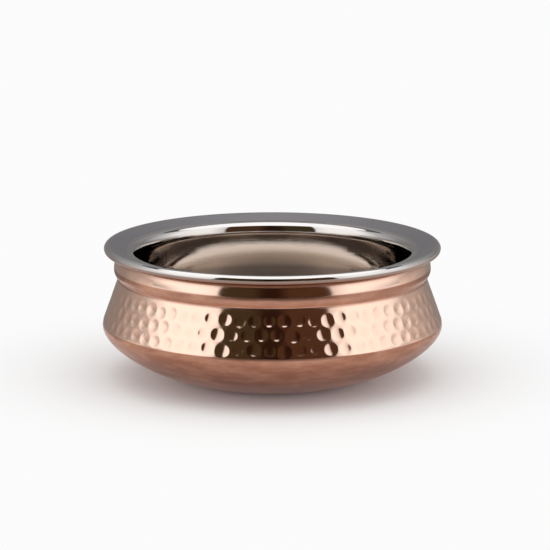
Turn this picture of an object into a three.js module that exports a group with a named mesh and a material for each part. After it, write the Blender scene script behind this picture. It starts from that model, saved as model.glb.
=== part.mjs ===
// A handi serving bowl: a stainless steel bowl hung by its rolled lip in a hammered copper shell.
// Millimetres, +Z up. The origin is the middle of the flat base, on the surface it stands on.

import * as THREE from 'three';

// Sheets and fits
const COPPER_SHEET = 0.8;
const STEEL_SHEET = 0.6;
const SEAT_GAP = 0.3; // between the two sheets wherever one carries or grips the other
const INSERT_CLEARANCE = 4.1; // round the bowl as it goes down through the shell's neck

// Copper shell, its outside
const BASE_RADIUS = 38;
const BASE_LIFT_ANGLE = 9.3; // degrees, how steeply the belly leaves the base
const BASE_LEAD = 21.5; // how far it keeps that direction before it turns up
const BELLY_RADIUS = 80;
const BELLY_HEIGHT = 25.8;
const BELLY_LEAD = 8.8; // upright run below the belly's widest line
const BELLY_TURN = 1.6; // reach of the round between the belly and the shoulder
const SHOULDER_RISE = 21.9; // belly's widest line up to the neck
const NECK_INSET = 7.7; // how far the neck lies inside the belly
const COLLAR_RISE = 4; // neck up to the collar's widest line
const COLLAR_BULGE = 2.05; // how far the collar stands out past the neck
const COLLAR_UNDER_LEAD = 2.1; // upright run below that line
const COLLAR_UPPER_LEAD = 3.8; // and above it
const FLANGE_WIDTH = 5.2; // copper rim flange, from the collar to the middle of the lip's roll
const FLANGE_FILLET = 0.9;

// Hammered rows, counted down the wall from the neck
const DIMPLE_PITCH = 6.9;
const DIMPLE_DEPTH = 0.25;
const ROW_PITCH = 6.7;
const FIRST_ROW = 5.9;
const ROW_COUNT = 3;

// Steel bowl, its visible side
const LIP_OVERHANG = 4.6; // lip's edge past the collar
const LIP_RISE = 9.8; // collar's widest line up to the middle of the roll
const LIP_ROLL = 2; // outer radius of the rolled edge
const LIP_SLOPE_ANGLE = 18; // degrees, the lip's fall towards the throat
const LIP_WIDTH = 8.3; // along the slope, from the middle of the roll to the throat
const LIP_LEAD = 1.7; // how far the throat keeps the lip's slope
const THROAT_DEPTH = 6.8; // lip's inner edge down to the throat's narrowest line
const THROAT_LEAD = 6.8; // upright run above that line
const WALL_LEAD = 20; // and below it
const BOWL_BULGE = 1.8; // how far the bowl's belly stands out past the throat
const BOWL_BELLY_HEIGHT = 25.3; // middle of the bowl's bottom up to its widest line
const BOWL_UPPER_LEAD = 5; // upright run above that line
const BOWL_LOWER_LEAD = 12; // and below it
const BOWL_BOTTOM_LEAD = 31; // level run from the middle of the bottom

// Facets
const BOWL_SIDES = 60;
const PLAIN_STEP = 6;
const CURVE_STEPS = 3;
const LONG_CURVE_STEPS = 8;
const ROLL_STEPS = 9;

const point = (radius, height) => new THREE.Vector2(radius, height);

// Places that both pieces share
const neck = point(BELLY_RADIUS - NECK_INSET, BELLY_HEIGHT + SHOULDER_RISE);
const collar = point(neck.x + COLLAR_BULGE, neck.y + COLLAR_RISE);
const rollCentre = point(collar.x + LIP_OVERHANG - LIP_ROLL, collar.y + LIP_RISE);
const lipSlope = THREE.MathUtils.degToRad(LIP_SLOPE_ANGLE);

// A point of the rim, measured outward along the lip from the roll's middle and square to the lip
const rimPoint = (outward, upward) => point(outward, upward).rotateAround(point(0, 0), lipSlope).add(rollCentre);
const copperTop = LIP_ROLL - STEEL_SHEET - SEAT_GAP;
const copperUnder = copperTop - COPPER_SHEET;

// The points along a run of [curve, steps]
const trace = (...runs) => runs.flatMap(([curve, steps], i) => curve.getPoints(steps).slice(i === 0 ? 0 : 1));

// The points moved square to their line, to its left where the distance is positive.
// A line meets the axis level, so a point on the axis stays on it.
function parallel(points, distance) {
  const last = points.length - 1;
  const left = (from, to) => {
    const way = to.clone().sub(from).normalize();
    return point(-way.y, way.x);
  };
  return points.map((here, i) => {
    if (here.x === 0) return point(0, here.y + distance);
    const arriving = left(points[Math.max(i - 1, 0)], points[Math.max(i, 1)]);
    const leaving = left(points[Math.min(i, last - 1)], points[Math.min(i + 1, last)]);
    const mitre = arriving.clone().add(leaving).divideScalar(1 + arriving.dot(leaving));
    return here.clone().addScaledVector(mitre, distance);
  });
}

// The section's point carried round the axis, or one point if it lies on the axis
function ring(section, sides) {
  if (section.x === 0) return [[0, 0, section.y]];
  return Array.from({ length: sides }, (_, i) => {
    const angle = (2 * Math.PI * i) / sides;
    return [section.x * Math.cos(angle), section.x * Math.sin(angle), section.y];
  });
}

// A closed skin over rings given from the axis out along the underside, then back along the top.
// Neighbouring rings may have different numbers of points.
function skin(rings) {
  const starts = [];
  rings.reduce((start, each) => (starts.push(start), start + each.length), 0);
  const triangles = [];
  for (let k = 0; k + 1 < rings.length; k++) {
    const [countA, countB] = [rings[k].length, rings[k + 1].length];
    const a = (i) => starts[k] + (i % countA);
    const b = (j) => starts[k + 1] + (j % countB);
    const [endA, endB] = [countA > 1 ? countA : 0, countB > 1 ? countB : 0];
    for (let i = 0, j = 0; i < endA || j < endB; ) {
      const stepsA = j === endB || (i < endA && (i + 1) / countA <= (j + 1) / countB);
      triangles.push(a(i), ...(stepsA ? [a(i + 1), b(j)] : [b(j + 1), b(j)]));
      if (stepsA) i++;
      else j++;
    }
  }
  const geometry = new THREE.BufferGeometry();
  geometry.setAttribute('position', new THREE.Float32BufferAttribute(rings.flat(2), 3));
  geometry.setIndex(triangles);
  geometry.computeVertexNormals();
  return geometry;
}

// Copper shell: base, lower belly, belly turn, hammered shoulder, neck, collar and rim flange
function outerShell() {
  const lift = THREE.MathUtils.degToRad(BASE_LIFT_ANGLE);
  const baseEdge = point(BASE_RADIUS, 0);
  const belly = point(BELLY_RADIUS, BELLY_HEIGHT);
  const corner = point(BELLY_RADIUS, BELLY_HEIGHT + BELLY_TURN);
  const shoulderFoot = neck.clone().sub(corner).setLength(BELLY_TURN).add(corner);
  const base = new THREE.LineCurve(point(0, 0), baseEdge);
  const lowerBelly = new THREE.CubicBezierCurve(
    baseEdge,
    point(BASE_LEAD, 0).rotateAround(point(0, 0), lift).add(baseEdge),
    point(BELLY_RADIUS, BELLY_HEIGHT - BELLY_LEAD),
    belly,
  );
  const bellyTurn = new THREE.QuadraticBezierCurve(belly, corner, shoulderFoot);
  const shoulder = new THREE.LineCurve(shoulderFoot, neck);

  // The collar rolls out over the neck and leans in to the root of the flange
  const root = rimPoint(-FLANGE_WIDTH, copperUnder);
  const lean = point(collar.x, collar.y + COLLAR_UPPER_LEAD);
  const filletStart = lean.clone().sub(root).setLength(FLANGE_FILLET).add(root);
  const filletEnd = rimPoint(FLANGE_FILLET - FLANGE_WIDTH, copperUnder);
  const rim = [
    [new THREE.QuadraticBezierCurve(neck, point(collar.x, collar.y - COLLAR_UNDER_LEAD), collar), CURVE_STEPS],
    [new THREE.QuadraticBezierCurve(collar, lean, filletStart), CURVE_STEPS],
    [new THREE.QuadraticBezierCurve(filletStart, root, filletEnd), CURVE_STEPS],
    [new THREE.LineCurve(filletEnd, rimPoint(0, copperUnder)), 1],
  ];

  // Outside of the wall, measured down from the neck, with dimples that stagger from row to row
  const wall = new THREE.CurvePath();
  wall.curves.push(lowerBelly, bellyTurn, shoulder);
  const length = wall.getLength();
  const dimples = Math.round((2 * Math.PI * BELLY_RADIUS) / DIMPLE_PITCH);
  const plainRing = (depth, sides) => ring(wall.getPointAt(1 - depth / length), sides);
  const hammeredRing = (depth, row) => {
    const along = wall.getTangentAt(1 - depth / length);
    return plainRing(depth, 2 * dimples).map(([x, y, z], i) => {
      if ((i + row) % 2 === 1) return [x, y, z];
      const radius = Math.hypot(x, y);
      const inset = 1 - (along.y * DIMPLE_DEPTH) / radius;
      return [x * inset, y * inset, z + along.x * DIMPLE_DEPTH];
    });
  };
  const rowDepth = (row) => FIRST_ROW + row * ROW_PITCH;
  const lastRidge = rowDepth(ROW_COUNT - 0.5);
  const plainCount = Math.ceil((length - lastRidge) / PLAIN_STEP);
  const wallRings = [];
  for (let i = 0; i < plainCount; i++) {
    wallRings.push(plainRing(THREE.MathUtils.lerp(length, lastRidge, i / plainCount), dimples));
  }
  for (let row = ROW_COUNT - 1; row >= 0; row--) {
    wallRings.push(plainRing(rowDepth(row + 0.5), 2 * dimples), hammeredRing(rowDepth(row), row));
  }
  wallRings.push(plainRing(rowDepth(-0.5), 2 * dimples));

  const inside = parallel(
    trace([base, 1], [lowerBelly, LONG_CURVE_STEPS], [bellyTurn, CURVE_STEPS], [shoulder, 1], ...rim),
    COPPER_SHEET,
  );
  return skin([
    ring(point(0, 0), dimples),
    ...wallRings,
    ...trace(...rim).map((section) => ring(section, dimples)),
    ...inside.reverse().map((section) => ring(section, dimples)),
  ]);
}

// Steel bowl: round bottom, belly, throat, sloping lip and the roll that grips the copper flange
function innerBowl() {
  const bottom = point(0, COPPER_SHEET + SEAT_GAP + STEEL_SHEET);
  const neckBore = neck.x - 2 * COPPER_SHEET;
  const belly = point(neckBore - INSERT_CLEARANCE - STEEL_SHEET, bottom.y + BOWL_BELLY_HEIGHT);
  const lipEdge = rimPoint(-LIP_WIDTH, LIP_ROLL);
  const throat = point(belly.x - BOWL_BULGE, lipEdge.y - THROAT_DEPTH);

  // The roll goes round until its end comes up under the copper flange
  const lipAngle = Math.PI / 2 + lipSlope;
  const gripAngle = lipSlope - Math.PI - Math.asin((copperUnder - SEAT_GAP) / LIP_ROLL);
  const roll = new THREE.EllipseCurve(rollCentre.x, rollCentre.y, LIP_ROLL, LIP_ROLL, lipAngle, gripAngle, true);

  const visible = trace(
    [new THREE.CubicBezierCurve(
      bottom, point(BOWL_BOTTOM_LEAD, bottom.y), point(belly.x, belly.y - BOWL_LOWER_LEAD), belly,
    ), LONG_CURVE_STEPS],
    [new THREE.CubicBezierCurve(
      belly, point(belly.x, belly.y + BOWL_UPPER_LEAD), point(throat.x, throat.y - WALL_LEAD), throat,
    ), CURVE_STEPS],
    [new THREE.CubicBezierCurve(
      throat, point(throat.x, throat.y + THROAT_LEAD), rimPoint(-LIP_WIDTH - LIP_LEAD, LIP_ROLL), lipEdge,
    ), LONG_CURVE_STEPS],
    [new THREE.LineCurve(lipEdge, roll.getPoint(0)), 1],
    [roll, ROLL_STEPS],
  );
  const hidden = parallel(visible, -STEEL_SHEET);
  return skin([...hidden, ...visible.reverse()].map((section) => ring(section, BOWL_SIDES)));
}

function piece(name, geometry, color, roughness) {
  const material = new THREE.MeshStandardMaterial({ color, roughness, metalness: 1 });
  const mesh = new THREE.Mesh(geometry, material);
  mesh.name = name;
  return mesh;
}

const handi = new THREE.Group();
handi.add(piece('outer_shell', outerShell(), 0xd59a78, 0.25));
handi.add(piece('inner_bowl', innerBowl(), 0xb9b4b0, 0.2));

export default handi;
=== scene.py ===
# %% [markdown]
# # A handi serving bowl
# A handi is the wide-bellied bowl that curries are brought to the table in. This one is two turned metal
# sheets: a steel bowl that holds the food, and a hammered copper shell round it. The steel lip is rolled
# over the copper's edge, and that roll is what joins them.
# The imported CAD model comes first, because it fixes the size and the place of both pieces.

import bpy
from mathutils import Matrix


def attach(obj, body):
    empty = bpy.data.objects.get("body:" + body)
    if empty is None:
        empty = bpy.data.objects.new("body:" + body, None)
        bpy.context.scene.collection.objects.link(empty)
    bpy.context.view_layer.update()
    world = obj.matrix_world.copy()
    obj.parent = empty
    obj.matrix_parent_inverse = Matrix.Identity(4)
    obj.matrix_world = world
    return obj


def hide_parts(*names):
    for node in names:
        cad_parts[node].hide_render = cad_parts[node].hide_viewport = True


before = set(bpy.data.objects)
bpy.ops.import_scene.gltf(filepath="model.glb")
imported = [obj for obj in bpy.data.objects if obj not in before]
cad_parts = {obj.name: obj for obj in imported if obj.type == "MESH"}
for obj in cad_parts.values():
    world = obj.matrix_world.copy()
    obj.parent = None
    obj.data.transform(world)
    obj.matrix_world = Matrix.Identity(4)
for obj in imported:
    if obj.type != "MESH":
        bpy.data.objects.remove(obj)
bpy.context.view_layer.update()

# %% [markdown]
# ## Drawing a section
# Both pieces are round, so each is drawn once as a section, half of what a cut through its middle would
# show, and then turned round the upright axis. A section can be traced by hand as many points, but a maker
# thinks of it as runs: a flat, a sweep, a bend. Bezier curves and arcs say the same with a few numbers, and
# they can be cut as fine as needed. Lengths are in millimetres until a mesh is made.

# %% Runs of a section
import math

import bpy

MM = 0.001


def bezier(controls, steps):
    """Points along a Bezier curve of any order; two controls give a straight run."""
    spots = []
    for i in range(steps + 1):
        row = list(controls)
        while len(row) > 1:
            row = [tuple(a + (b - a) * i / steps for a, b in zip(p, q)) for p, q in zip(row, row[1:])]
        spots.append(row[0])
    return spots


def arc(centre, radius, start, end, steps):
    """Points along an arc, from one angle in degrees to another."""
    angles = [math.radians(start + (end - start) * i / steps) for i in range(steps + 1)]
    return [(centre[0] + radius * math.cos(a), centre[1] + radius * math.sin(a)) for a in angles]


def toward(start, end, distance):
    """The point that lies a distance from start on the way to end."""
    share = distance / math.dist(start, end)
    return tuple(a + (b - a) * share for a, b in zip(start, end))


print("a bend in 3 steps:", [tuple(round(v, 2) for v in spot) for spot in arc((0, 0), 2, 90, 0, 3)])

# %% [markdown]
# ## From a line to a sheet
# A drawn run is only one face of the sheet metal. The other face is the same line moved square to itself by
# the sheet's thickness. Blender's Solidify modifier does that to a mesh, but doing it to the line keeps the
# section in one piece from axis to axis, so turning it gives a closed sheet with no rim to fill. The hidden
# face needs fewer points, so it keeps every fourth one and the ends of the runs.
# Each run also carries a number called polish_and_shade, from 1 where the metal is buffed bright down to 0
# where it is dull. The materials read it later; there, low numbers also paint brown shade and dark
# reflections into the colour.

# %% Section of a sheet
HIDDEN_STEP = 4


def moved_square(spots, distance):
    """The line moved square to itself, to its left where the distance is positive."""
    moved = []
    for i, spot in enumerate(spots):
        if spot[0] == 0:
            moved.append((0, spot[1] + distance))
            continue
        sides = []
        for a, b in ((max(i - 1, 0), max(i, 1)), (min(i, len(spots) - 2), min(i + 1, len(spots) - 1))):
            length = math.dist(spots[a], spots[b])
            sides.append(((spots[a][1] - spots[b][1]) / length, (spots[b][0] - spots[a][0]) / length))
        lean = 1 + sides[0][0] * sides[1][0] + sides[0][1] * sides[1][1]
        moved.append(tuple(s + (u + v) * distance / lean for s, u, v in zip(spot, *sides)))
    return moved


def spread(levels, share):
    """The level at a share of the way along levels that are spaced evenly."""
    place = share * (len(levels) - 1)
    before = min(int(place), len(levels) - 2)
    return levels[before] + (levels[before + 1] - levels[before]) * (place - before)


def sheet_section(runs, thickness):
    """Joins runs of (points, polish levels along them) and adds the hidden face."""
    face = []
    polish_and_shade = []
    ends = set()
    for points, levels in runs:
        skip = 1 if face else 0
        face += points[skip:]
        polish_and_shade += [spread(levels, i / (len(points) - 1)) for i in range(skip, len(points))]
        ends.add(len(face) - 1)
    hidden = moved_square(face, thickness)
    kept = sorted(ends | set(range(0, len(face), HIDDEN_STEP)), reverse=True)
    return face + [hidden[i] for i in kept], polish_and_shade + [polish_and_shade[i] for i in kept]


print("a flat run and its other face:", moved_square([(0, 0), (10, 0)], 0.8))

# %% [markdown]
# ## The copper shell's section
# From the table up: a flat base, a shallow sweep to the belly, a tight bend, the straight leaning shoulder
# that the hammer works on, a sharp groove at the neck, a rounded collar, and a narrow flange that the steel
# lip is rolled round. The wall is beaten from sheet, so it has one thickness all over.
# The shoulder and the collar's top are buffed, which is where the bright bands are. The buffing stops in the
# belly's bend. The groove, the collar's foot, the copper next to and under the steel roll, and everything
# below the bend are duller, and the brown there is painted shade and a painted reflection of a dark table.
# In the list of runs, each curve is followed by the number of steps it is cut into, and then its levels of
# polish and painted shade.

# %% Copper shell section
COPPER_SHEET = 0.8
BASE_EDGE = (38, 0)
SWEEP_START = (59.2, 3.47)
SWEEP_RISE = 17
BELLY = (79.92, 25.1)
BEND_CORNER = (79.92, 26.4)
BEND_REACH = 1.3
GROOVE_LIP = 1.2
NECK = (72.3, 47.7)
NECK_CORNER = (74.35, 49.6)
COLLAR = (74.35, 51.7)
COLLAR_TOP = (74.35, 55.5)
ROLL_CENTRE = (76.95, 61.5)
LIP_SLOPE = math.radians(18)
FLANGE_WIDTH = 5.2
FLANGE_FILLET = 0.9
FLANGE_UNDER = 0.3


def rim_point(outward, upward):
    """A point measured along the sloping lip from the middle of its roll, and square to it."""
    return (
        ROLL_CENTRE[0] + outward * math.cos(LIP_SLOPE) - upward * math.sin(LIP_SLOPE),
        ROLL_CENTRE[1] + outward * math.sin(LIP_SLOPE) + upward * math.cos(LIP_SLOPE),
    )


shoulder_foot = toward(BEND_CORNER, NECK, BEND_REACH)
below_neck = toward(NECK, BEND_CORNER, GROOVE_LIP)
flange_root = rim_point(-FLANGE_WIDTH, FLANGE_UNDER)
fillet_start = toward(flange_root, COLLAR_TOP, FLANGE_FILLET)
fillet_end = rim_point(FLANGE_FILLET - FLANGE_WIDTH, FLANGE_UNDER)
# Low numbers here paint a brown shade and a dark reflection into the copper: in the groove, at the collar's
# foot, next to and under the steel roll, and below the belly's bend.
bend_polish_and_shade = [0.05, 0.05, 0.05, 0.1, 0.9, 1, 1, 1, 1]
collar_polish_and_shade = [0.1, 0.1, 0.15, 0.9] + [1] * 6 + [0.9, 0.7, 0.6] + [0.5] * 4
copper_runs = [
    (bezier([(0, 0), BASE_EDGE], 1), [0, 0]),
    (bezier([BASE_EDGE, SWEEP_START, (BELLY[0], SWEEP_RISE), BELLY], 18), [0, 0.05]),
    (bezier([BELLY, BEND_CORNER, shoulder_foot], 8), bend_polish_and_shade),
    (bezier([shoulder_foot, below_neck], 38), [1, 1]),
    (bezier([below_neck, NECK], 3), [0.9, 0.2]),
    (bezier([NECK, NECK_CORNER, COLLAR], 7), [0.15, 0.1]),
    (bezier([COLLAR, COLLAR_TOP, fillet_start], 16), collar_polish_and_shade),
    (bezier([fillet_start, flange_root, fillet_end], 4), [0.5, 0.45]),
    (bezier([fillet_end, rim_point(0, FLANGE_UNDER)], 1), [0.2, 0.2]),
]
copper_spots, copper_polish_and_shade = sheet_section(copper_runs, COPPER_SHEET)
print("copper section:", len(copper_spots), "points")

# %% [markdown]
# ## The steel bowl's section
# The bowl is drawn on the side that shows: a bottom as round as a saucer, a wall that is nearly straight, a
# throat that turns over tightly into the sloping lip, and the lip's edge rolled right round until it comes
# up under the copper flange. The throat and the top of the roll are the brightest. Three levels of polish
# have names: the wall is a little stained by food, the bottom is rubbed dull by spoons, and the lip's slope
# is left satin by the lathe. The underside of the roll has no polish, and its brown tone is a painted shade.

# %% Steel bowl section
STEEL_SHEET = 0.6
BOWL_FLOOR = 1.7
FLOOR_FLAT = 31
BOTTOM_RISE = 15
BOWL_BELLY = (66, 27)
WALL_START = 32
WALL_END = 34
THROAT = (64.2, 54)
THROAT_LEAD = 7.8
LIP_WIDTH = 8.7
LIP_LEAD = 0.8
LIP_ROLL = 1.95
LIP_ANGLE = 108
GRIP_ANGLE = -162
SATIN = 0.3
RUBBED = 0.5
STAINED = 0.85

bottom = [(0, BOWL_FLOOR), (FLOOR_FLAT, BOWL_FLOOR), (BOWL_BELLY[0], BOTTOM_RISE), BOWL_BELLY]
wall = [BOWL_BELLY, (BOWL_BELLY[0], WALL_START), (THROAT[0], WALL_END), THROAT]
lip_edge = rim_point(-LIP_WIDTH, LIP_ROLL)
lip_lead = rim_point(-LIP_WIDTH - LIP_LEAD, LIP_ROLL)
throat = [THROAT, (THROAT[0], THROAT[1] + THROAT_LEAD), lip_lead, lip_edge]
roll_top = arc(ROLL_CENTRE, LIP_ROLL, LIP_ANGLE, 0, 16)
roll_under = arc(ROLL_CENTRE, LIP_ROLL, 0, GRIP_ANGLE, 24)
steel_runs = [
    (bezier(bottom, 40), [RUBBED] * 7 + [0.75] + [STAINED] * 3),
    (bezier(wall, 24), [STAINED, STAINED]),
    (bezier(throat, 20), [STAINED, 1, 1, 1]),
    (bezier([lip_edge, roll_top[0]], 12), [SATIN, SATIN]),
    (roll_top, [0.9] + [1] * 6),
    # Under the roll the polish drops to 0, which paints a brown shade there.
    (roll_under, [0.8] + [0] * 12),
]
steel_spots, steel_polish_and_shade = sheet_section(steel_runs, -STEEL_SHEET)
steel_spots.reverse()
steel_polish_and_shade.reverse()
print("steel section:", len(steel_spots), "points")

# %% [markdown]
# ## Building node trees in a script
# A node tree is nodes and links, and writing each link by hand hides the idea. Four small helpers keep it
# readable. One adds a node and fills its inputs, with either a plain value or the output of another node.
# One does a sum, one carries a value from one range to another, and one starts a tree with named sockets.

# %% Helpers for node trees
NODE_SPACING = 180


def add_node(tree, kind, inputs=None, **settings):
    """Adds a node with its settings made and its inputs filled or linked."""
    node = tree.nodes.new(kind)
    node.location.x = NODE_SPACING * len(tree.nodes)
    for name, value in settings.items():
        setattr(node, name, value)
    for name, value in (inputs or {}).items():
        if isinstance(value, bpy.types.NodeSocket):
            tree.links.new(value, node.inputs[name])
        else:
            node.inputs[name].default_value = value
    return node


def calc(tree, operation, first, second=0.0, third=0.0):
    """A Math node, given as its output."""
    return add_node(tree, "ShaderNodeMath", {0: first, 1: second, 2: third}, operation=operation).outputs[0]


def carry(tree, value, start, end, low=0.0, high=1.0, **settings):
    """A value carried from one range to another and held at the ends, given as its output."""
    inputs = {"Value": value, "From Min": start, "From Max": end, "To Min": low, "To Max": high}
    return add_node(tree, "ShaderNodeMapRange", inputs, **settings).outputs[0]


def new_tree(name, kind, inputs, outputs):
    """An empty tree or group with named sockets, and the outputs of its input node."""
    tree = bpy.data.node_groups.new(name, kind)
    for label, socket_type in inputs.items():
        tree.interface.new_socket(label, in_out="INPUT", socket_type="NodeSocket" + socket_type)
    for label, socket_type in outputs.items():
        tree.interface.new_socket(label, in_out="OUTPUT", socket_type="NodeSocket" + socket_type)
    return tree, tree.nodes.new("NodeGroupInput").outputs


print("helpers ready: add_node, calc, carry, new_tree")

# %% [markdown]
# ## Turning a section
# The Screw modifier or bmesh's spin could turn the section. Geometry Nodes does it with one rule that stays
# open to change: a flat grid has one row of points for each point of the section and one column for each
# step of the turn, and every grid point is sent to its place round the axis. The turn runs clockwise, seen
# from above, so that the faces point outwards. Merge by Distance then closes the seam and the two poles.
# The polish-and-shade number of each section point, and its distance along the section, go along as
# attributes.

# %% Tree that turns a section
SEAM = 1e-6

turn_tree, given = new_tree(
    "Turned sheet",
    "GeometryNodeTree",
    {"Section": "Geometry", "Columns": "Int", "Metal": "Material"},
    {"Sheet": "Geometry"},
)
size = add_node(turn_tree, "GeometryNodeAttributeDomainSize", {"Geometry": given["Section"]})
across = calc(turn_tree, "ADD", given["Columns"], 1.0)
links = {"Vertices X": size.outputs["Point Count"], "Vertices Y": across}
sheet = add_node(turn_tree, "GeometryNodeMeshGrid", links).outputs["Mesh"]
index = add_node(turn_tree, "GeometryNodeInputIndex").outputs[0]
spot_index = calc(turn_tree, "FLOOR", calc(turn_tree, "DIVIDE", index, across))
turn_index = calc(turn_tree, "SUBTRACT", index, calc(turn_tree, "MULTIPLY", spot_index, across))
angle = calc(turn_tree, "MULTIPLY", calc(turn_tree, "DIVIDE", turn_index, given["Columns"]), -math.tau)


def from_section(value, data_type):
    """A value of the section point that a grid point belongs to."""
    links = {"Geometry": given["Section"], "Value": value, "Index": spot_index}
    return add_node(turn_tree, "GeometryNodeSampleIndex", links, data_type=data_type).outputs[0]


def finish_tree(tree, sheet, metal, label):
    """Ends a tree with instances made real, the metal set and the sheet handed out."""
    sheet = add_node(tree, "GeometryNodeRealizeInstances", {"Geometry": sheet}).outputs[0]
    sheet = add_node(tree, "GeometryNodeSetMaterial", {"Geometry": sheet, "Material": metal}).outputs[0]
    add_node(tree, "NodeGroupOutput", {label: sheet})


place = add_node(turn_tree, "GeometryNodeInputPosition").outputs[0]
spot = add_node(turn_tree, "ShaderNodeSeparateXYZ", {0: from_section(place, "FLOAT_VECTOR")}).outputs
links = {
    "X": calc(turn_tree, "MULTIPLY", spot["X"], calc(turn_tree, "COSINE", angle)),
    "Y": calc(turn_tree, "MULTIPLY", spot["X"], calc(turn_tree, "SINE", angle)),
    "Z": spot["Z"],
}
turned = add_node(turn_tree, "ShaderNodeCombineXYZ", links).outputs[0]
for label in ("polish_and_shade", "along"):
    carried = add_node(turn_tree, "GeometryNodeInputNamedAttribute", {"Name": label}).outputs[0]
    links = {"Geometry": sheet, "Name": label, "Value": from_section(carried, "FLOAT")}
    sheet = add_node(turn_tree, "GeometryNodeStoreNamedAttribute", links).outputs[0]
sheet = add_node(turn_tree, "GeometryNodeSetPosition", {"Geometry": sheet, "Position": turned}).outputs[0]
sheet = add_node(turn_tree, "GeometryNodeMergeByDistance", {"Geometry": sheet, "Distance": SEAM}).outputs[0]
sheet = add_node(turn_tree, "GeometryNodeSetShadeSmooth", {"Geometry": sheet}).outputs[0]
finish_tree(turn_tree, sheet, given["Metal"], "Sheet")
print("turning tree:", len(turn_tree.nodes), "nodes")

# %% [markdown]
# ## Rows of hammer marks
# A round-faced hammer leaves shallow cups in rows round the shoulder. Modelling one cup and copying it
# would need a clean join at every copy. Instead each point of the fine wall works out which mark it is
# nearest to and how far off it is, and moves in by the depth of a cup there. The first half of the tree
# finds the row and the mark. Rows start wherever the maker began, so each one gets its own start, from a
# seeded random number. The row and the place in it together give each mark a number of its own.

# %% Tree that hammers the wall: the nearest mark
ROW_NUMBERS = 1000.0

hammer_tree, given = new_tree(
    "Hammer marks",
    "GeometryNodeTree",
    {
        "Shell": "Geometry",
        "Marks round": "Int",
        "Rows": "Int",
        "Top row": "Float",
        "Row pitch": "Float",
        "Mark pitch": "Float",
        "Width": "Float",
        "Depth": "Float",
        "Wander": "Float",
        "Light blows": "Float",
        "Ripple": "Float",
        "Row seed": "Int",
        "Seed": "Int",
        "Metal": "Material",
    },
    {"Shell": "Geometry"},
)
place = add_node(hammer_tree, "GeometryNodeInputPosition").outputs[0]
spot = add_node(hammer_tree, "ShaderNodeSeparateXYZ", {0: place}).outputs
along = add_node(hammer_tree, "GeometryNodeInputNamedAttribute", {"Name": "along"}).outputs[0]


def hammer(operation, first, second=0.0):
    """A sum in the hammering tree."""
    return calc(hammer_tree, operation, first, second)


def chance(ident, seed, lowest, highest):
    """A random number that stays the same for each row or mark."""
    node = add_node(hammer_tree, "FunctionNodeRandomValue", {"ID": ident, "Seed": seed}, data_type="FLOAT")
    for socket in node.inputs:
        if socket.name in ("Min", "Max") and socket.type == "VALUE":
            socket.default_value = lowest if socket.name == "Min" else highest
    return [output for output in node.outputs if output.type == "VALUE"][0]


down = hammer("SUBTRACT", given["Top row"], along)
row = hammer("ROUND", hammer("DIVIDE", down, given["Row pitch"]))
row = hammer("MAXIMUM", hammer("MINIMUM", row, hammer("SUBTRACT", given["Rows"], 1.0)), 0.0)
turn = hammer("DIVIDE", hammer("ARCTAN2", spot["Y"], spot["X"]), math.tau)
row_start = chance(row, given["Row seed"], 0.0, 1.0)
count = hammer("ADD", hammer("MULTIPLY", turn, given["Marks round"]), row_start)
column = hammer("ROUND", count)
mark_id = hammer("FLOORED_MODULO", column, given["Marks round"])
mark_id = hammer("ADD", hammer("MULTIPLY", row, ROW_NUMBERS), mark_id)
print("hammering tree, first half:", len(hammer_tree.nodes), "nodes")

# %% [markdown]
# ## Depth of a mark
# The second half of the tree moves the wall. Blows wander and differ in weight, so each mark gets a small
# shift and a depth of its own, from seeded random numbers too. A cup is deepest in its middle and ends
# where the ball of the hammer would leave the metal. The whole wall also has a slow ripple of a few
# hundredths of a millimetre, as beaten metal has. It fades out towards the base, so that the bowl stands
# flat.

# %% Tree that hammers the wall: the depth
RIPPLE_SCALE = 75.0
RIPPLE_FROM = 4
RIPPLE_BY = 14


def blow(lowest, highest, offset):
    """A random number for each mark, different for each offset."""
    return chance(mark_id, hammer("ADD", given["Seed"], offset), lowest, highest)


sideways = hammer("MULTIPLY", hammer("SUBTRACT", count, column), given["Mark pitch"])
sideways = hammer("SUBTRACT", sideways, hammer("MULTIPLY", blow(-1.0, 1.0, 1.0), given["Wander"]))
upright = hammer("SUBTRACT", down, hammer("MULTIPLY", row, given["Row pitch"]))
upright = hammer("SUBTRACT", upright, hammer("MULTIPLY", blow(-1.0, 1.0, 2.0), given["Wander"]))
off = hammer("ADD", hammer("POWER", sideways, 2.0), hammer("POWER", upright, 2.0))
weight = hammer("SUBTRACT", 1.0, hammer("MULTIPLY", blow(0.0, 1.0, 3.0), given["Light blows"]))
half = hammer("MULTIPLY", given["Width"], 0.5)
reach = hammer("MULTIPLY", hammer("POWER", half, 2.0), weight)
cup = hammer("MAXIMUM", hammer("SUBTRACT", 1.0, hammer("DIVIDE", off, reach)), 0.0)
cup = hammer("MULTIPLY", cup, weight)
depth = hammer("MULTIPLY", cup, given["Depth"])
links = {"Vector": place, "Scale": RIPPLE_SCALE, "Detail": 1.0, "Roughness": 0.4}
noise = add_node(hammer_tree, "ShaderNodeTexNoise", links).outputs[0]
clear_of_base = carry(hammer_tree, spot["Z"], RIPPLE_FROM * MM, RIPPLE_BY * MM)
ripple = hammer("MULTIPLY", hammer("MULTIPLY", noise, clear_of_base), given["Ripple"])
inward = hammer("MULTIPLY", hammer("ADD", depth, ripple), -1.0)
normal = add_node(hammer_tree, "GeometryNodeInputNormal").outputs[0]
links = {0: normal, "Scale": inward}
push = add_node(hammer_tree, "ShaderNodeVectorMath", links, operation="SCALE").outputs[0]
links = {"Geometry": given["Shell"], "Name": "mark", "Value": cup}
shell = add_node(hammer_tree, "GeometryNodeStoreNamedAttribute", links).outputs[0]
shell = add_node(hammer_tree, "GeometryNodeSetPosition", {"Geometry": shell, "Offset": push}).outputs[0]
finish_tree(hammer_tree, shell, given["Metal"], "Shell")
print("hammering tree:", len(hammer_tree.nodes), "nodes")

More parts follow.
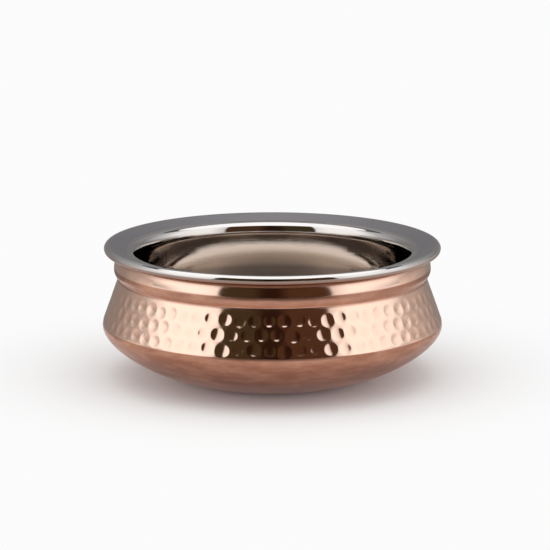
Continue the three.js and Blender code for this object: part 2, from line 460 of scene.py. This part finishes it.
# %% [markdown]
# ## Marks that both metals share
# Turned and buffed metal is never quite even. Fine lines run round it where the lathe and the polishing
# wheel touched it, and hands leave faint cloudy patches. Both are shader groups, so that each metal can use
# them with its own strength. The lines follow the section's own distance, so they run true round every
# bend.

# %% Shader groups for wear
SMUDGE_EDGE = 0.8
COVER_SHARE = 0.5
SMUDGE_SOFTNESS = 0.2

lines_group, given = new_tree(
    "Turning lines", "ShaderNodeTree", {"Lines per mm": "Float", "Breaks": "Float"}, {"Height": "Float"}
)


def vector(operation, inputs):
    """A sum of vectors in the group of turning lines."""
    return add_node(lines_group, "ShaderNodeVectorMath", inputs, operation=operation).outputs[0]


spot = add_node(lines_group, "ShaderNodeTexCoord").outputs["Object"]
round_way = vector("NORMALIZE", {0: vector("MULTIPLY", {0: spot, 1: (1.0, 1.0, 0.0)})})
round_way = vector("SCALE", {0: round_way, "Scale": given["Breaks"]})
along = add_node(lines_group, "ShaderNodeAttribute", attribute_name="along").outputs["Fac"]
lift = calc(lines_group, "MULTIPLY", calc(lines_group, "MULTIPLY", along, 1 / MM), given["Lines per mm"])
lift = add_node(lines_group, "ShaderNodeCombineXYZ", {"Z": lift}).outputs[0]
path = vector("ADD", {0: round_way, 1: lift})
links = {"Vector": path, "Scale": 1.0, "Detail": 3.0, "Roughness": 0.6}
streaks = add_node(lines_group, "ShaderNodeTexNoise", links).outputs[0]
add_node(lines_group, "NodeGroupOutput", {"Height": streaks})

smudge_group, given = new_tree(
    "Handling smudges", "ShaderNodeTree", {"Size": "Float", "Cover": "Float"}, {"Mask": "Float"}
)
spot = add_node(smudge_group, "ShaderNodeTexCoord").outputs["Object"]
links = {"Vector": spot, "Scale": given["Size"], "Detail": 4.0, "Distortion": 0.6}
clouds = add_node(smudge_group, "ShaderNodeTexNoise", links).outputs[0]
cover = calc(smudge_group, "MULTIPLY", given["Cover"], COVER_SHARE)
edge = calc(smudge_group, "SUBTRACT", SMUDGE_EDGE, cover)
mask = carry(smudge_group, clouds, calc(smudge_group, "SUBTRACT", edge, SMUDGE_SOFTNESS), edge)
add_node(smudge_group, "NodeGroupOutput", {"Mask": mask})
print("shader groups:", lines_group.name, "and", smudge_group.name)

# %% [markdown]
# ## Building a metal
# Both metals are a Principled shader with Metallic at 1, so that colour and roughness do all the work. The
# helpers here start such a material, mix two colours, run a value through a ramp of colours, place a shared
# group, and read the height over the table.

# %% Helpers for metals
def metal(name):
    """A new material with its tree emptied but for a Principled shader and the output."""
    material = bpy.data.materials.new(name)
    material.use_nodes = True
    tree = material.node_tree
    tree.nodes.clear()
    shader = add_node(tree, "ShaderNodeBsdfPrincipled", {"Metallic": 1.0})
    add_node(tree, "ShaderNodeOutputMaterial", {"Surface": shader.outputs[0]})
    return material, tree, shader


def blend(tree, factor, first, second, mode="MIX"):
    """A colour mixed from two, given as its output; inputs 6 and 7 and output 2 hold colours."""
    inputs = {0: factor, 6: first, 7: second}
    return add_node(tree, "ShaderNodeMix", inputs, data_type="RGBA", blend_type=mode).outputs[2]


def ramp(tree, value, stops):
    """A colour that runs through stops of (place, colour), given as its output."""
    node = add_node(tree, "ShaderNodeValToRGB", {"Fac": value})
    elements = node.color_ramp.elements
    while len(elements) < len(stops):
        elements.new(0.5)
    for element, (place, colour) in zip(elements, stops):
        element.position = place
        element.color = colour
    return node.outputs[0]


def group(tree, shared, **values):
    """A shared shader group placed in a material with its own values."""
    node = tree.nodes.new("ShaderNodeGroup")
    node.node_tree = shared
    for label, value in values.items():
        node.inputs[label.replace("_", " ")].default_value = value
    return node.outputs[0]


def height_in(tree):
    """The height over the table, given as its output."""
    spot = add_node(tree, "ShaderNodeTexCoord").outputs["Object"]
    return add_node(tree, "ShaderNodeSeparateXYZ", {0: spot}).outputs["Z"]


print("helpers ready: metal, blend, ramp, group, height_in")

# %% [markdown]
# ## Steel
# The bowl is stainless steel with several finishes. Separate materials would meet at hard lines, so one
# material serves them all. The polish-and-shade attribute picks the tone from a ramp: a brown painted shade
# under the roll, grey on the satin lip, warm in the bowl and nearly white on the throat. It sets the
# roughness too, and the turning lines are deeper where the polish is low. A darker belt is painted round the
# bowl at its widest, a painted dark reflection. Height alone says where the belt lies, so a second ramp
# makes it.

# %% Steel material
BLACK = (0.0, 0.0, 0.0, 1.0)
WHITE = (1.0, 1.0, 1.0, 1.0)
LINE_SHADE = (0.86, 0.86, 0.86, 1.0)
STEEL_TONES = [
    # At 0, under the roll: a brown painted shade.
    (0, (0.40, 0.28, 0.23, 1.0)),
    (SATIN, (0.36, 0.345, 0.365, 1.0)),
    (RUBBED, (0.57, 0.475, 0.405, 1.0)),
    (STAINED, (0.71, 0.64, 0.585, 1.0)),
    (1, (0.74, 0.715, 0.70, 1.0)),
]
# A darker belt painted round the wall at its widest, as a painted dark reflection.
PAINTED_BELT_TONE = (0.45, 0.42, 0.405, 1.0)
PAINTED_BELT_EDGES = [(22.5, BLACK), (25, WHITE), (38.5, WHITE), (40.5, BLACK)]
BELT_RAMP = 100
SATIN_ROUGHNESS = 0.42
MIRROR_ROUGHNESS = 0.025
STEEL_SMUDGES = 0.015
LINES_GONE = 1.05
LINE_DEPTH = 0.2

steel, tree, shader = metal("polished_steel")
polish_and_shade = add_node(tree, "ShaderNodeAttribute", attribute_name="polish_and_shade").outputs["Fac"]
lines = group(tree, lines_group, Lines_per_mm=5.0, Breaks=3.0)
smudges = group(tree, smudge_group, Size=32.0, Cover=0.7)
painted_belt_stops = [(height / BELT_RAMP, shade) for height, shade in PAINTED_BELT_EDGES]
painted_belt = ramp(tree, calc(tree, "DIVIDE", height_in(tree), BELT_RAMP * MM), painted_belt_stops)
tone = blend(tree, painted_belt, ramp(tree, polish_and_shade, STEEL_TONES), PAINTED_BELT_TONE)
tone = blend(tree, 1.0, tone, blend(tree, lines, LINE_SHADE, WHITE), "MULTIPLY")
tree.links.new(tone, shader.inputs["Base Color"])
rough = carry(tree, polish_and_shade, SATIN, STAINED, SATIN_ROUGHNESS, MIRROR_ROUGHNESS)
tree.links.new(calc(tree, "MULTIPLY_ADD", smudges, STEEL_SMUDGES, rough), shader.inputs["Roughness"])
depth = calc(tree, "MULTIPLY", lines, calc(tree, "SUBTRACT", LINES_GONE, polish_and_shade))
bump = add_node(tree, "ShaderNodeBump", {"Strength": 0.15, "Distance": LINE_DEPTH * MM, "Height": depth})
tree.links.new(bump.outputs[0], shader.inputs["Normal"])
print("material:", steel.name, len(tree.nodes), "nodes")

# %% [markdown]
# ## Copper
# Fresh copper is a pale pink-orange mirror. Where the polish-and-shade number is low, the copper is painted
# brown: a painted shade, and a painted reflection of a dark table under the belly. Two separate materials
# would meet at a hard line, so one material goes from one to the other by that attribute. The painted brown
# has clouds of deeper red and paler streaks that run round the bowl, and near the base it is painted lighter
# and greyer, a painted reflection. The hammer marks are painted a little darker by their depth, a painted
# shade in their hollows.

# %% Copper material
# The brown, the deep red and the pale streak colours paint shade and a dark table's reflection.
SHADE_BROWN = (0.43, 0.18, 0.095, 1.0)
DEEP_RED = (0.33, 0.13, 0.08, 1.0)
PALE_STREAK = (0.53, 0.265, 0.17, 1.0)
# A lighter, greyer tone painted near the base as a reflection.
BASE_REFLECTION_TONE = (0.80, 0.60, 0.57, 1.0)
FRESH_COPPER = (0.94, 0.66, 0.53, 1.0)
# A darker copper painted into the hammer marks as shade in their hollows.
MARK_SHADE_COPPER = (0.80, 0.52, 0.40, 1.0)
STREAKS_FROM = 0.4
STREAKS_BY = 0.7
EDGE_FROM = 1
EDGE_BY = 12
EDGE_COVER = 0.9
# The share of that painted shade at a mark's deepest point.
MARK_SHADE_COVER = 0.3
BROWN_ROUGHNESS = 0.3
BUFFED_ROUGHNESS = 0.045
COPPER_SMUDGES = 0.04

copper, tree, shader = metal("hammered_copper")
polish_and_shade = add_node(tree, "ShaderNodeAttribute", attribute_name="polish_and_shade").outputs["Fac"]
mark = add_node(tree, "ShaderNodeAttribute", attribute_name="mark").outputs["Fac"]
lines = group(tree, lines_group, Lines_per_mm=2.2, Breaks=4.0)
smudges = group(tree, smudge_group, Size=40.0, Cover=0.8)
red_clouds = group(tree, smudge_group, Size=70.0, Cover=0.9)
broad_lines = group(tree, lines_group, Lines_per_mm=0.15, Breaks=4.0)
streaks = carry(tree, broad_lines, STREAKS_FROM, STREAKS_BY)
# Near the base the brown is painted lighter and greyer, a painted reflection.
base_reflection_mask = carry(tree, height_in(tree), EDGE_FROM * MM, EDGE_BY * MM, EDGE_COVER, 0.0)
# The brown is painted shade and a painted reflection of a dark table, varied by clouds and streaks.
shade_brown = blend(tree, streaks, blend(tree, red_clouds, SHADE_BROWN, DEEP_RED), PALE_STREAK)
shade_brown = blend(tree, base_reflection_mask, shade_brown, BASE_REFLECTION_TONE)
# The hammer marks are painted darker by their depth, a painted shade in their hollows.
bright = blend(tree, calc(tree, "MULTIPLY", mark, MARK_SHADE_COVER), FRESH_COPPER, MARK_SHADE_COPPER)
tree.links.new(blend(tree, polish_and_shade, shade_brown, bright), shader.inputs["Base Color"])
rough = carry(tree, polish_and_shade, 0.0, 1.0, BROWN_ROUGHNESS, BUFFED_ROUGHNESS)
tree.links.new(calc(tree, "MULTIPLY_ADD", smudges, COPPER_SMUDGES, rough), shader.inputs["Roughness"])
bump = add_node(tree, "ShaderNodeBump", {"Strength": 0.05, "Distance": LINE_DEPTH * MM, "Height": lines})
tree.links.new(bump.outputs[0], shader.inputs["Normal"])
print("material:", copper.name, len(tree.nodes), "nodes")

# %% [markdown]
# ## Making the two pieces
# Each piece starts as a mesh that holds only its section, with the trees as modifiers. A tree's inputs are
# set through their identifiers, because two inputs may share a name. The evaluated result is then kept as a
# plain mesh, and the modifiers go, so that the mesh is exactly what is seen. The printed volume is a check:
# it comes out positive only if the sheet is closed and its faces point outwards.

# %% Steel bowl
import bmesh

STEEL_COLUMNS = 256
CUBIC_CM = 1e-6


def distances(spots):
    """How far along the section each of its points lies, in metres."""
    along = [0.0]
    for start, end in zip(spots, spots[1:]):
        along.append(along[-1] + math.dist(start, end) * MM)
    return along


def section_object(name, spots, polish_and_shade):
    """An object that holds a section, with its polish and its distance along the section."""
    mesh = bpy.data.meshes.new(name)
    edges = [(i, i + 1) for i in range(len(spots) - 1)]
    mesh.from_pydata([(radius * MM, 0, height * MM) for radius, height in spots], edges, [])
    mesh.attributes.new("polish_and_shade", "FLOAT", "POINT").data.foreach_set("value", polish_and_shade)
    mesh.attributes.new("along", "FLOAT", "POINT").data.foreach_set("value", distances(spots))
    piece = bpy.data.objects.new(name, mesh)
    bpy.context.collection.objects.link(piece)
    return piece


def add_tree(piece, tree, values):
    """Puts a tree on a piece as a modifier and sets its named inputs."""
    modifier = piece.modifiers.new(tree.name, "NODES")
    modifier.node_group = tree
    for item in tree.interface.items_tree:
        if item.name in values:
            modifier[item.identifier] = values[item.name]


def settle(piece):
    """Keeps what the trees made as a plain mesh and prints its size."""
    depsgraph = bpy.context.evaluated_depsgraph_get()
    result = bpy.data.meshes.new_from_object(piece.evaluated_get(depsgraph), depsgraph=depsgraph)
    piece.modifiers.clear()
    piece.data = result
    shape = bmesh.new()
    shape.from_mesh(result)
    open_edges = sum(not edge.is_manifold for edge in shape.edges)
    volume = shape.calc_volume(signed=True) / CUBIC_CM
    triangles = sum(len(face.verts) - 2 for face in shape.faces)
    shape.free()
    print(piece.name, triangles, "triangles,", open_edges, "open edges,", round(volume, 1), "cm3")


steel_bowl = section_object("steel_bowl", steel_spots, steel_polish_and_shade)
add_tree(steel_bowl, turn_tree, {"Columns": STEEL_COLUMNS, "Metal": steel})
settle(steel_bowl)

# %% [markdown]
# ## Making the copper shell
# The copper shell takes both trees. Its wall is cut much finer than the steel's, because the columns have
# to show the edge of every mark.

# %% Copper shell
COPPER_COLUMNS = 770
MARKS_ROUND = 70
ROWS = 3
FIRST_ROW = 5.9
ROW_PITCH = 6.7
MIDDLE_RADIUS = 76.2
MARK_WIDTH = 6.3
MARK_DEPTH = 0.33
WANDER = 0.5
LIGHT_BLOWS = 0.2
RIPPLE = 0.06
ROW_SEED = 13
MARK_SEED = 7

copper_shell = section_object("copper_shell", copper_spots, copper_polish_and_shade)
add_tree(copper_shell, turn_tree, {"Columns": COPPER_COLUMNS, "Metal": copper})
neck_along = distances(copper_spots)[copper_spots.index(NECK)]
hammering = {
    "Marks round": MARKS_ROUND,
    "Rows": ROWS,
    "Top row": neck_along - FIRST_ROW * MM,
    "Row pitch": ROW_PITCH * MM,
    "Mark pitch": math.tau * MIDDLE_RADIUS * MM / MARKS_ROUND,
    "Width": MARK_WIDTH * MM,
    "Depth": MARK_DEPTH * MM,
    "Wander": WANDER * MM,
    "Light blows": LIGHT_BLOWS,
    "Ripple": RIPPLE * MM,
    "Row seed": ROW_SEED,
    "Seed": MARK_SEED,
    "Metal": copper,
}
add_tree(copper_shell, hammer_tree, hammering)
settle(copper_shell)

# %% [markdown]
# ## Standing in for the CAD
# The two finished pieces take the place of the two CAD solids, which are hidden, and ride on the one body
# the bowl has.

# %% Ride and replace
for piece, node, slot in ((steel_bowl, "inner_bowl", "steel"), (copper_shell, "outer_shell", "copper")):
    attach(piece, "root")
    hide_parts(node)

# %% [markdown]
# ## Floor
# Polished metal shows little of itself and a lot of the room, so the room is most of the look. It starts
# with a pale table. Near the bowl the lamps light the table, so the bowl's soft shadow falls on it. Farther
# off it turns plain white for anything that looks at it, straight or in a mirror. A lamp bright enough to
# do the same would bleach the metal. Lengths of the studio are in metres.

# %% Table
TABLE_REACH = 6
TABLE_PALE = (0.96, 0.96, 0.96, 1.0)
TABLE_WHITE = (0.97, 0.97, 0.97, 1.0)
WHITE_FROM = 0.02
WHITE_BY = 0.2


def stage_piece(name, corners, faces, material):
    """A sheet of the studio, which isn't part of the bowl."""
    mesh = bpy.data.meshes.new(name)
    mesh.from_pydata(corners, [], faces)
    mesh.materials.append(material)
    piece = bpy.data.objects.new(name, mesh)
    bpy.context.collection.objects.link(piece)
    return piece


pale = bpy.data.materials.new("pale_table")
pale.use_nodes = True
tree = pale.node_tree
table_shader = tree.nodes["Principled BSDF"]
table_shader.inputs["Base Color"].default_value = TABLE_PALE
table_shader.inputs["Roughness"].default_value = 0.9
table_shader.inputs["Specular IOR Level"].default_value = 0.0
path = add_node(tree, "ShaderNodeLightPath").outputs
seen = calc(tree, "MAXIMUM", path["Is Camera Ray"], path["Is Glossy Ray"])
seen = calc(tree, "MAXIMUM", seen, path["Is Transmission Ray"])
spot = add_node(tree, "ShaderNodeTexCoord").outputs["Object"]
away = add_node(tree, "ShaderNodeVectorMath", {0: spot}, operation="LENGTH").outputs["Value"]
away = carry(tree, away, WHITE_FROM, WHITE_BY, interpolation_type="SMOOTHSTEP")
white = add_node(tree, "ShaderNodeEmission", {"Color": TABLE_WHITE}).outputs[0]
parts = {0: calc(tree, "MULTIPLY", seen, away), 1: table_shader.outputs[0], 2: white}
table_look = add_node(tree, "ShaderNodeMixShader", parts).outputs[0]
tree.links.new(table_look, tree.nodes["Material Output"].inputs["Surface"])
sides = ((-1, -1), (1, -1), (1, 1), (-1, 1))
corners = [(TABLE_REACH * side, TABLE_REACH * end, 0) for side, end in sides]
stage_piece("table", corners, [(0, 1, 2, 3)], pale)
print("table top at height 0")

# %% [markdown]
# ## Light tent
# Makers of such pictures put the bowl in a light tent: white cloth all round, lit from outside, with a slit
# for the lens. The tent here is a ring of glowing cloth, brightest left and right of the camera and darker
# towards the back. The slit is what the bowl mirrors as the dark patch in the middle of the copper. Tones
# kept at the corners of a mesh are easier to steer than many lamps, and they have no hard joins.
# Each line of levels gives a direction in degrees, 0 being towards the camera, and the cloth's brightness
# at its foot, middle and top.

# %% Light tent
TENT_RADIUS = 1.9
TENT_MIDDLE = 0.5
TENT_HEIGHT = 1.65
TENT_PANELS = 360
CLOTH_LEVELS = [
    (-180, 0.22, 0.22, 0.50),
    (-160, 0.22, 0.22, 0.50),
    (-140, 0.12, 0.28, 0.40),
    (-104, 0.22, 0.62, 0.62),
    (-82, 0.50, 1.30, 1.30),
    (-66, 1.30, 1.30, 1.30),
    (-50, 1.30, 1.30, 1.30),
    (-39, 1.10, 1.10, 1.10),
    (43, 0.85, 0.85, 0.85),
    (56, 1.25, 1.25, 1.25),
    (66, 1.25, 1.25, 1.25),
    (92, 0.65, 1.15, 1.15),
    (110, 0.30, 0.72, 0.72),
    (140, 0.12, 0.28, 0.40),
    (160, 0.22, 0.22, 0.50),
    (180, 0.22, 0.22, 0.50),
]
OLIVE_DARK = (0.055, 0.038, 0.018)
DARKEST = (0.026, 0.011, 0.006)
RUSSET_DARK = (0.074, 0.036, 0.019)
SLIT_TONES = [
    (-37, OLIVE_DARK),
    (-14, OLIVE_DARK),
    (-5, DARKEST),
    (4, DARKEST),
    (12, RUSSET_DARK),
    (41, RUSSET_DARK),
]
cloth_stops = sorted(
    [(degrees, [(level,) * 3 for level in levels]) for degrees, *levels in CLOTH_LEVELS]
    + [(degrees, [tone] * 3) for degrees, tone in SLIT_TONES]
)

cloth = bpy.data.materials.new("tent_cloth")
cloth.use_nodes = True
tree = cloth.node_tree
tree.nodes.clear()
tone = add_node(tree, "ShaderNodeAttribute", attribute_name="cloth").outputs["Color"]
glow = add_node(tree, "ShaderNodeEmission", {"Color": tone, "Strength": 1.0})
add_node(tree, "ShaderNodeOutputMaterial", {"Surface": glow.outputs[0]})


def cloth_tones(degrees):
    """Tones at the cloth's foot, middle and top in one direction."""
    for (start, before), (end, after) in zip(cloth_stops, cloth_stops[1:]):
        if degrees <= end:
            share = (degrees - start) / (end - start)
            return [tuple(a + (b - a) * share for a, b in zip(p, q)) for p, q in zip(before, after)]


def spot_at(degrees, distance, height):
    """A place in the studio, by its direction and its distance from the bowl's axis."""
    turn = math.radians(degrees)
    return (distance * math.sin(turn), -distance * math.cos(turn), height)


def glowing_sheet(name, corners, faces, tones):
    """A sheet of the studio that glows with a tone of its own at each corner."""
    sheet = stage_piece(name, corners, faces, cloth)
    colours = [part for tone in tones for part in (*tone, 1.0)]
    sheet.data.attributes.new("cloth", "FLOAT_COLOR", "POINT").data.foreach_set("color", colours)
    return sheet


directions = [360 * panel / TENT_PANELS - 180 for panel in range(TENT_PANELS)]
corners = []
tones = []
for level, height in enumerate((0, TENT_MIDDLE, TENT_HEIGHT)):
    corners += [spot_at(degrees, TENT_RADIUS, height) for degrees in directions]
    tones += [cloth_tones(degrees)[level] for degrees in directions]
panels = []
for i in range(2 * TENT_PANELS):
    following = i + 1 if (i + 1) % TENT_PANELS else i + 1 - TENT_PANELS
    panels.append((i, following, following + TENT_PANELS, i + TENT_PANELS))
glowing_sheet("tent", corners, panels, tones)
print("tent", TENT_RADIUS, "m in radius,", TENT_HEIGHT, "m high,", len(panels), "panels")

# %% [markdown]
# ## Grey cards
# A white table alone bleaches the sides of the bowl and its rolled edge, because that is what they mirror.
# In a studio, grey card is stood beside the bowl, and two bent cards do that here. They glow like the tent,
# and they are seen only in the metal: the camera, the table and the shadows pass them by. Each line of
# levels gives a direction and the card's brightness at its foot and at its top.

# %% Grey cards
CARD_DISTANCE = 0.36
CARD_HEIGHT = 0.106
CARD_FOOT = 0.17
CARD_LIFT = 0.001
CARD_TINT = (1.0, 0.92, 0.88)
CARD_LEVELS = {
    "left_card": [
        (-175, 0.28, 0.28),
        (-150, 0.26, 0.26),
        (-122, 0.30, 0.30),
        (-110, 0.45, 0.42),
        (-98, 0.75, 0.48),
        (-86, 1.05, 0.55),
    ],
    "right_card": [
        (94, 0.95, 0.60),
        (106, 0.68, 0.48),
        (120, 0.48, 0.42),
        (138, 0.30, 0.30),
        (156, 0.28, 0.28),
        (175, 0.28, 0.28),
    ],
}


def only_in_metal(sheet):
    """Hides a sheet from the camera, from matt surfaces and from the shadows."""
    sheet.visible_camera = False
    sheet.visible_diffuse = False
    sheet.visible_shadow = False


card_bend = [(CARD_FOOT, CARD_LIFT), (CARD_DISTANCE, CARD_LIFT), (CARD_DISTANCE, CARD_HEIGHT)]
step = len(card_bend)
for name, stops in CARD_LEVELS.items():
    corners = []
    tones = []
    for degrees, foot, top in stops:
        corners += [spot_at(degrees, distance, height) for distance, height in card_bend]
        tones += [[level * tint for tint in CARD_TINT] for level in (foot, foot, top)]
    starts = [i for i in range(len(corners) - step) if (i + 1) % step]
    folds = [(i, i + step, i + step + 1, i + 1) for i in starts]
    only_in_metal(glowing_sheet(name, corners, folds, tones))
print("cards", CARD_DISTANCE, "m from the bowl's axis")

# %% [markdown]
# ## Dark mat
# The copper mirrors the table in front of it as well as the slit, and white there would cut the dark patch
# short. Dark cloth laid on the table carries the slit's tones on towards the bowl. Like the cards, it is
# seen only in the metal, so the table itself stays pale.

# %% Dark mat
MAT_FROM = 0.26

corners = []
tones = []
for degrees, tone in SLIT_TONES:
    corners += [spot_at(degrees, distance, CARD_LIFT) for distance in (MAT_FROM, TENT_RADIUS)]
    tones += [tone, tone]
strips = [(2 * i, 2 * i + 1, 2 * i + 3, 2 * i + 2) for i in range(len(SLIT_TONES) - 1)]
only_in_metal(glowing_sheet("dark_mat", corners, strips, tones))
print("mat from", MAT_FROM, "m to the slit")

# %% [markdown]
# ## Softbox
# The light from above is one large oval softbox. A square one would do as well on the copper, but the round
# steel bowl mirrors its corners as kinks, and in the photograph the corners at the back are dark. The lamp's
# power comes from its area, so that it is as bright as the tent's cloth. The room beyond is a dark grey.

# %% Softbox overhead
TOP_BRIGHTNESS = 1.3
TOP_WIDTH = 3.8
TOP_FRONT = -2.0
TOP_BACK = 1.15
ROOM_GREY = (0.12, 0.12, 0.12, 1.0)

lamp = bpy.data.lights.new("top_softbox", "AREA")
lamp.shape = "ELLIPSE"
lamp.size = TOP_WIDTH
lamp.size_y = TOP_BACK - TOP_FRONT
oval_area = math.pi / 4 * lamp.size * lamp.size_y
lamp.energy = TOP_BRIGHTNESS * math.pi * oval_area
top_softbox = bpy.data.objects.new("top_softbox", lamp)
top_softbox.location = (0, (TOP_FRONT + TOP_BACK) / 2, TENT_HEIGHT)
bpy.context.collection.objects.link(top_softbox)
world = bpy.data.worlds.new("grey_room")
world.use_nodes = True
world.node_tree.nodes["Background"].inputs["Color"].default_value = ROOM_GREY
bpy.context.scene.world = world
print("softbox", round(lamp.energy, 1), "W")

# %% [markdown]
# ## Camera
# The photograph was taken with a long lens from a little above the rim, so the mouth is a thin ellipse and
# the sides hardly converge. The lens, the tilt and the place come from matching the bowl's outline, and the
# place is in millimetres, as the bowl's sections are.

# %% Camera
PHOTO_TILT = 11.84
LENS = 180.65
SENSOR = 36
CAMERA_PLACE = (1.23, -1269.9, 314)

lens = bpy.data.cameras.new("photo_camera")
lens.lens = LENS
lens.sensor_width = SENSOR
camera = bpy.data.objects.new("photo_camera", lens)
camera.location = [part * MM for part in CAMERA_PLACE]
camera.rotation_euler = (math.radians(90 - PHOTO_TILT), 0, 0)
bpy.context.collection.objects.link(camera)
bpy.context.scene.camera = camera
bpy.context.scene.view_settings.view_transform = "Standard"
print("camera", round(camera.location.length, 3), "m from the bowl's foot")
